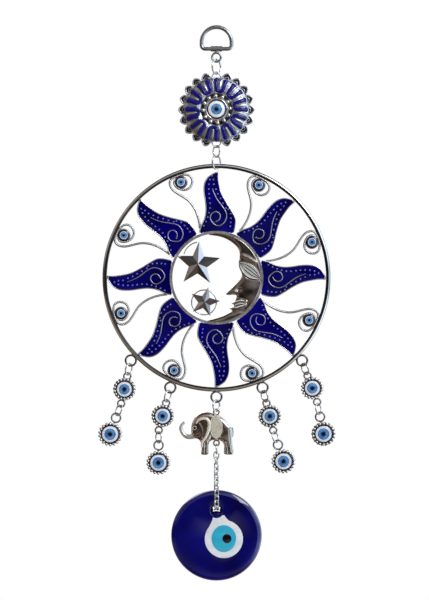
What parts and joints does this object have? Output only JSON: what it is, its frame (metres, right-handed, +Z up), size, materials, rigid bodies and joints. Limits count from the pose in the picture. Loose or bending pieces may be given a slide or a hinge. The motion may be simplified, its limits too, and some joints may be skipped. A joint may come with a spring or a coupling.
{
  "type": "evil eye hanging ornament",
  "caption": "Hanging charm: silver medallion, hoop with an enamelled sun, moon and stars, eye droppers, an elephant and a glass eye disc on a chain.",
  "frame": {"origin": "the hanging point: the inner top of the D-ring, in the middle of its wire's plane", "axes": "+Z up, the front faces -Y, +X to the viewer's right; the longest extent is along Z"},
  "size_m": [0.1323, 0.0112, 0.3094],
  "materials": {
    "steel": "satin grey steel",
    "silver": "polished silver plate",
    "blue_enamel": "opaque glossy enamel",
    "pale_glass": "opaque glossy glass",
    "navy_glass": "opaque glossy glass",
    "cobalt_glass": "dark glossy glass",
    "white_glass": "opaque glossy glass",
    "turquoise_glass": "opaque glossy glass",
    "black_glass": "opaque glossy glass"
  },
  "bodies": {
    "hanger": {"hanger_d_ring": "steel"},
    "hanger_ring": {"hanger_jump_ring": "silver"},
    "medallion": {"medallion_filigree": "silver", "medallion_flower": "silver", "medallion_enamel": "blue_enamel", "medallion_collar": "silver", "medallion_eye": "pale_glass"},
    "medallion_ring": {"medallion_ring": "silver"},
    "hoop_ring": {"hoop_ring": "silver"},
    "hoop": {"hoop": "silver", "sun_casting": "silver", "ray_enamel": "blue_enamel", "crescent_moon": "silver", "large_star": "silver", "small_star": "silver", "star_wires": "silver", "scroll_wires": "silver", "scroll_eyes": "pale_glass"},
    "d1_ring": {"d1_ring": "silver"},
    "d1_upper": {"d1_upper": "silver", "d1_upper_eye": "navy_glass"},
    "d1_ring2": {"d1_ring2": "silver"},
    "d1_lower": {"d1_lower": "silver", "d1_lower_eye": "navy_glass"},
    "d2_ring": {"d2_ring": "silver"},
    "d2_upper": {"d2_upper": "silver", "d2_upper_eye": "navy_glass"},
    "d2_ring2": {"d2_ring2": "silver"},
    "d2_lower": {"d2_lower": "silver", "d2_lower_eye": "navy_glass"},
    "d3_ring": {"d3_ring": "silver"},
    "d3_upper": {"d3_upper": "silver", "d3_upper_eye": "navy_glass"},
    "d3_ring2": {"d3_ring2": "silver"},
    "d3_lower": {"d3_lower": "silver", "d3_lower_eye": "navy_glass"},
    "d4_ring": {"d4_ring": "silver"},
    "d4_upper": {"d4_upper": "silver", "d4_upper_eye": "navy_glass"},
    "d4_ring2": {"d4_ring2": "silver"},
    "d4_lower": {"d4_lower": "silver", "d4_lower_eye": "navy_glass"},
    "elephant_ring": {"elephant_ring": "silver"},
    "elephant": {"elephant": "silver"},
    "chain_ring": {"chain_ring": "silver"},
    "chain_01": {"chain_01": "silver"},
    "chain_02": {"chain_02": "silver"},
    "chain_03": {"chain_03": "silver"},
    "chain_04": {"chain_04": "silver"},
    "chain_05": {"chain_05": "silver"},
    "chain_06": {"chain_06": "silver"},
    "chain_07": {"chain_07": "silver"},
    "chain_08": {"chain_08": "silver"},
    "chain_09": {"chain_09": "silver"},
    "chain_10": {"chain_10": "silver"},
    "chain_bight": {"chain_bight": "silver"},
    "disc": {"glass_disc": "cobalt_glass", "eye_white": "white_glass", "eye_iris": "turquoise_glass", "eye_pupil": "black_glass"}
  },
  "joints": [
    {"name": "hanger_ring_swing", "type": "hinge", "parent": "hanger", "child": "hanger_ring", "pos_m": [0, 0, -0.01815], "axis": [1, 0, 0], "range_deg": [-25, 25]},
    {"name": "medallion_swing", "type": "hinge", "parent": "hanger_ring", "child": "medallion", "pos_m": [0, 0, -0.02508], "axis": [0, 1, 0], "range_deg": [-12, 12]},
    {"name": "medallion_ring_swing", "type": "hinge", "parent": "medallion", "child": "medallion_ring", "pos_m": [0, 0, -0.06591], "axis": [-1, 0, 0], "range_deg": [-20, 20]},
    {"name": "hoop_ring_swing", "type": "hinge", "parent": "medallion_ring", "child": "hoop_ring", "pos_m": [0, 0, -0.07129], "axis": [0, -1, 0], "range_deg": [-12, 12]},
    {"name": "hoop_swing", "type": "hinge", "parent": "hoop_ring", "child": "hoop", "pos_m": [0, 0, -0.07625], "axis": [1, 0, 0], "range_deg": [-25, 25]},
    {"name": "d1_ring_swing", "type": "hinge", "parent": "hoop", "child": "d1_ring", "pos_m": [-0.04832, 0, -0.18739], "axis": [0.9759, 0, -0.2181], "range_deg": [-25, 25]},
    {"name": "d1_upper_swing", "type": "hinge", "parent": "d1_ring", "child": "d1_upper", "pos_m": [-0.04948, 0, -0.19254], "axis": [0, 1, 0], "range_deg": [-12, 12]},
    {"name": "d1_ring2_swing", "type": "hinge", "parent": "d1_upper", "child": "d1_ring2", "pos_m": [-0.0537, 0, -0.21035], "axis": [-0.9409, 0, 0.3387], "range_deg": [-25, 25]},
    {"name": "d1_lower_swing", "type": "hinge", "parent": "d1_ring2", "child": "d1_lower", "pos_m": [-0.05544, 0, -0.21518], "axis": [0, -1, 0], "range_deg": [-12, 12]},
    {"name": "d2_ring_swing", "type": "hinge", "parent": "hoop", "child": "d2_ring", "pos_m": [-0.02645, 0, -0.20242], "axis": [0.9655, 0, -0.2605], "range_deg": [-25, 25]},
    {"name": "d2_upper_swing", "type": "hinge", "parent": "d2_ring", "child": "d2_upper", "pos_m": [-0.02782, 0, -0.20752], "axis": [0, 1, 0], "range_deg": [-12, 12]},
    {"name": "d2_ring2_swing", "type": "hinge", "parent": "d2_upper", "child": "d2_ring2", "pos_m": [-0.03213, 0, -0.22527], "axis": [-0.9999, 0, 0.014], "range_deg": [-25, 25]},
    {"name": "d2_lower_swing", "type": "hinge", "parent": "d2_ring2", "child": "d2_lower", "pos_m": [-0.0322, 0, -0.2304], "axis": [0, -1, 0], "range_deg": [-12, 12]},
    {"name": "d3_ring_swing", "type": "hinge", "parent": "hoop", "child": "d3_ring", "pos_m": [0.02639, 0, -0.20243], "axis": [0.9703, 0, 0.2419], "range_deg": [-25, 25]},
    {"name": "d3_upper_swing", "type": "hinge", "parent": "d3_ring", "child": "d3_upper", "pos_m": [0.02767, 0, -0.20756], "axis": [0, 1, 0], "range_deg": [-12, 12]},
    {"name": "d3_ring2_swing", "type": "hinge", "parent": "d3_upper", "child": "d3_ring2", "pos_m": [0.03223, 0, -0.22529], "axis": [-0.9505, 0, -0.3107], "range_deg": [-25, 25]},
    {"name": "d3_lower_swing", "type": "hinge", "parent": "d3_ring2", "child": "d3_lower", "pos_m": [0.03383, 0, -0.23017], "axis": [0, -1, 0], "range_deg": [-12, 12]},
    {"name": "d4_ring_swing", "type": "hinge", "parent": "hoop", "child": "d4_ring", "pos_m": [0.04868, 0, -0.18728], "axis": [0.9397, 0, 0.342], "range_deg": [-25, 25]},
    {"name": "d4_upper_swing", "type": "hinge", "parent": "d4_ring", "child": "d4_upper", "pos_m": [0.05049, 0, -0.19224], "axis": [0, 1, 0], "range_deg": [-12, 12]},
    {"name": "d4_ring2_swing", "type": "hinge", "parent": "d4_upper", "child": "d4_ring2", "pos_m": [0.05647, 0, -0.20954], "axis": [-0.9816, 0, -0.1908], "range_deg": [-25, 25]},
    {"name": "d4_lower_swing", "type": "hinge", "parent": "d4_ring2", "child": "d4_lower", "pos_m": [0.05745, 0, -0.21457], "axis": [0, -1, 0], "range_deg": [-12, 12]},
    {"name": "elephant_ring_swing", "type": "hinge", "parent": "hoop", "child": "elephant_ring", "pos_m": [0, 0, -0.2077], "axis": [-1, 0, 0], "range_deg": [-20, 20]},
    {"name": "elephant_swing", "type": "hinge", "parent": "elephant_ring", "child": "elephant", "pos_m": [0, 0, -0.21288], "axis": [0, 1, 0], "range_deg": [-10, 10]},
    {"name": "chain_ring_swing", "type": "hinge", "parent": "elephant", "child": "chain_ring", "pos_m": [0, 0, -0.23206], "axis": [1, 0, 0], "range_deg": [-20, 20]},
    {"name": "chain_01_swing", "type": "hinge", "parent": "chain_ring", "child": "chain_01", "pos_m": [0, 0, -0.23525], "axis": [0, -1, 0], "range_deg": [-8, 8]},
    {"name": "chain_02_swing", "type": "hinge", "parent": "chain_01", "child": "chain_02", "pos_m": [0, 0, -0.23824], "axis": [0, 1, 0], "range_deg": [-8, 8]},
    {"name": "chain_03_swing", "type": "hinge", "parent": "chain_02", "child": "chain_03", "pos_m": [0, 0, -0.24123], "axis": [0, -1, 0], "range_deg": [-8, 8]},
    {"name": "chain_04_swing", "type": "hinge", "parent": "chain_03", "child": "chain_04", "pos_m": [0, 0, -0.24422], "axis": [0, 1, 0], "range_deg": [-8, 8]},
    {"name": "chain_05_swing", "type": "hinge", "parent": "chain_04", "child": "chain_05", "pos_m": [0, 0, -0.24721], "axis": [0, -1, 0], "range_deg": [-8, 8]},
    {"name": "chain_06_swing", "type": "hinge", "parent": "chain_05", "child": "chain_06", "pos_m": [0, 0, -0.2502], "axis": [0, 1, 0], "range_deg": [-8, 8]},
    {"name": "chain_07_swing", "type": "hinge", "parent": "chain_06", "child": "chain_07", "pos_m": [0, 0, -0.2532], "axis": [0, -1, 0], "range_deg": [-8, 8]},
    {"name": "chain_08_swing", "type": "hinge", "parent": "chain_07", "child": "chain_08", "pos_m": [0, 0, -0.25622], "axis": [0, 1, 0], "range_deg": [-8, 8]},
    {"name": "chain_09_swing", "type": "hinge", "parent": "chain_08", "child": "chain_09", "pos_m": [0, 0, -0.25926], "axis": [0, -1, 0], "range_deg": [-8, 8]},
    {"name": "chain_10_swing", "type": "hinge", "parent": "chain_09", "child": "chain_10", "pos_m": [0, 0, -0.26228], "axis": [0, 1, 0], "range_deg": [-8, 8]},
    {"name": "chain_bight_swing", "type": "hinge", "parent": "chain_10", "child": "chain_bight", "pos_m": [0, 0, -0.26532], "axis": [0, -1, 0], "range_deg": [-8, 8]},
    {"name": "disc_swing", "type": "hinge", "parent": "chain_bight", "child": "disc", "pos_m": [0, 0, -0.26797], "axis": [0, 1, 0], "range_deg": [-20, 20]}
  ]
}
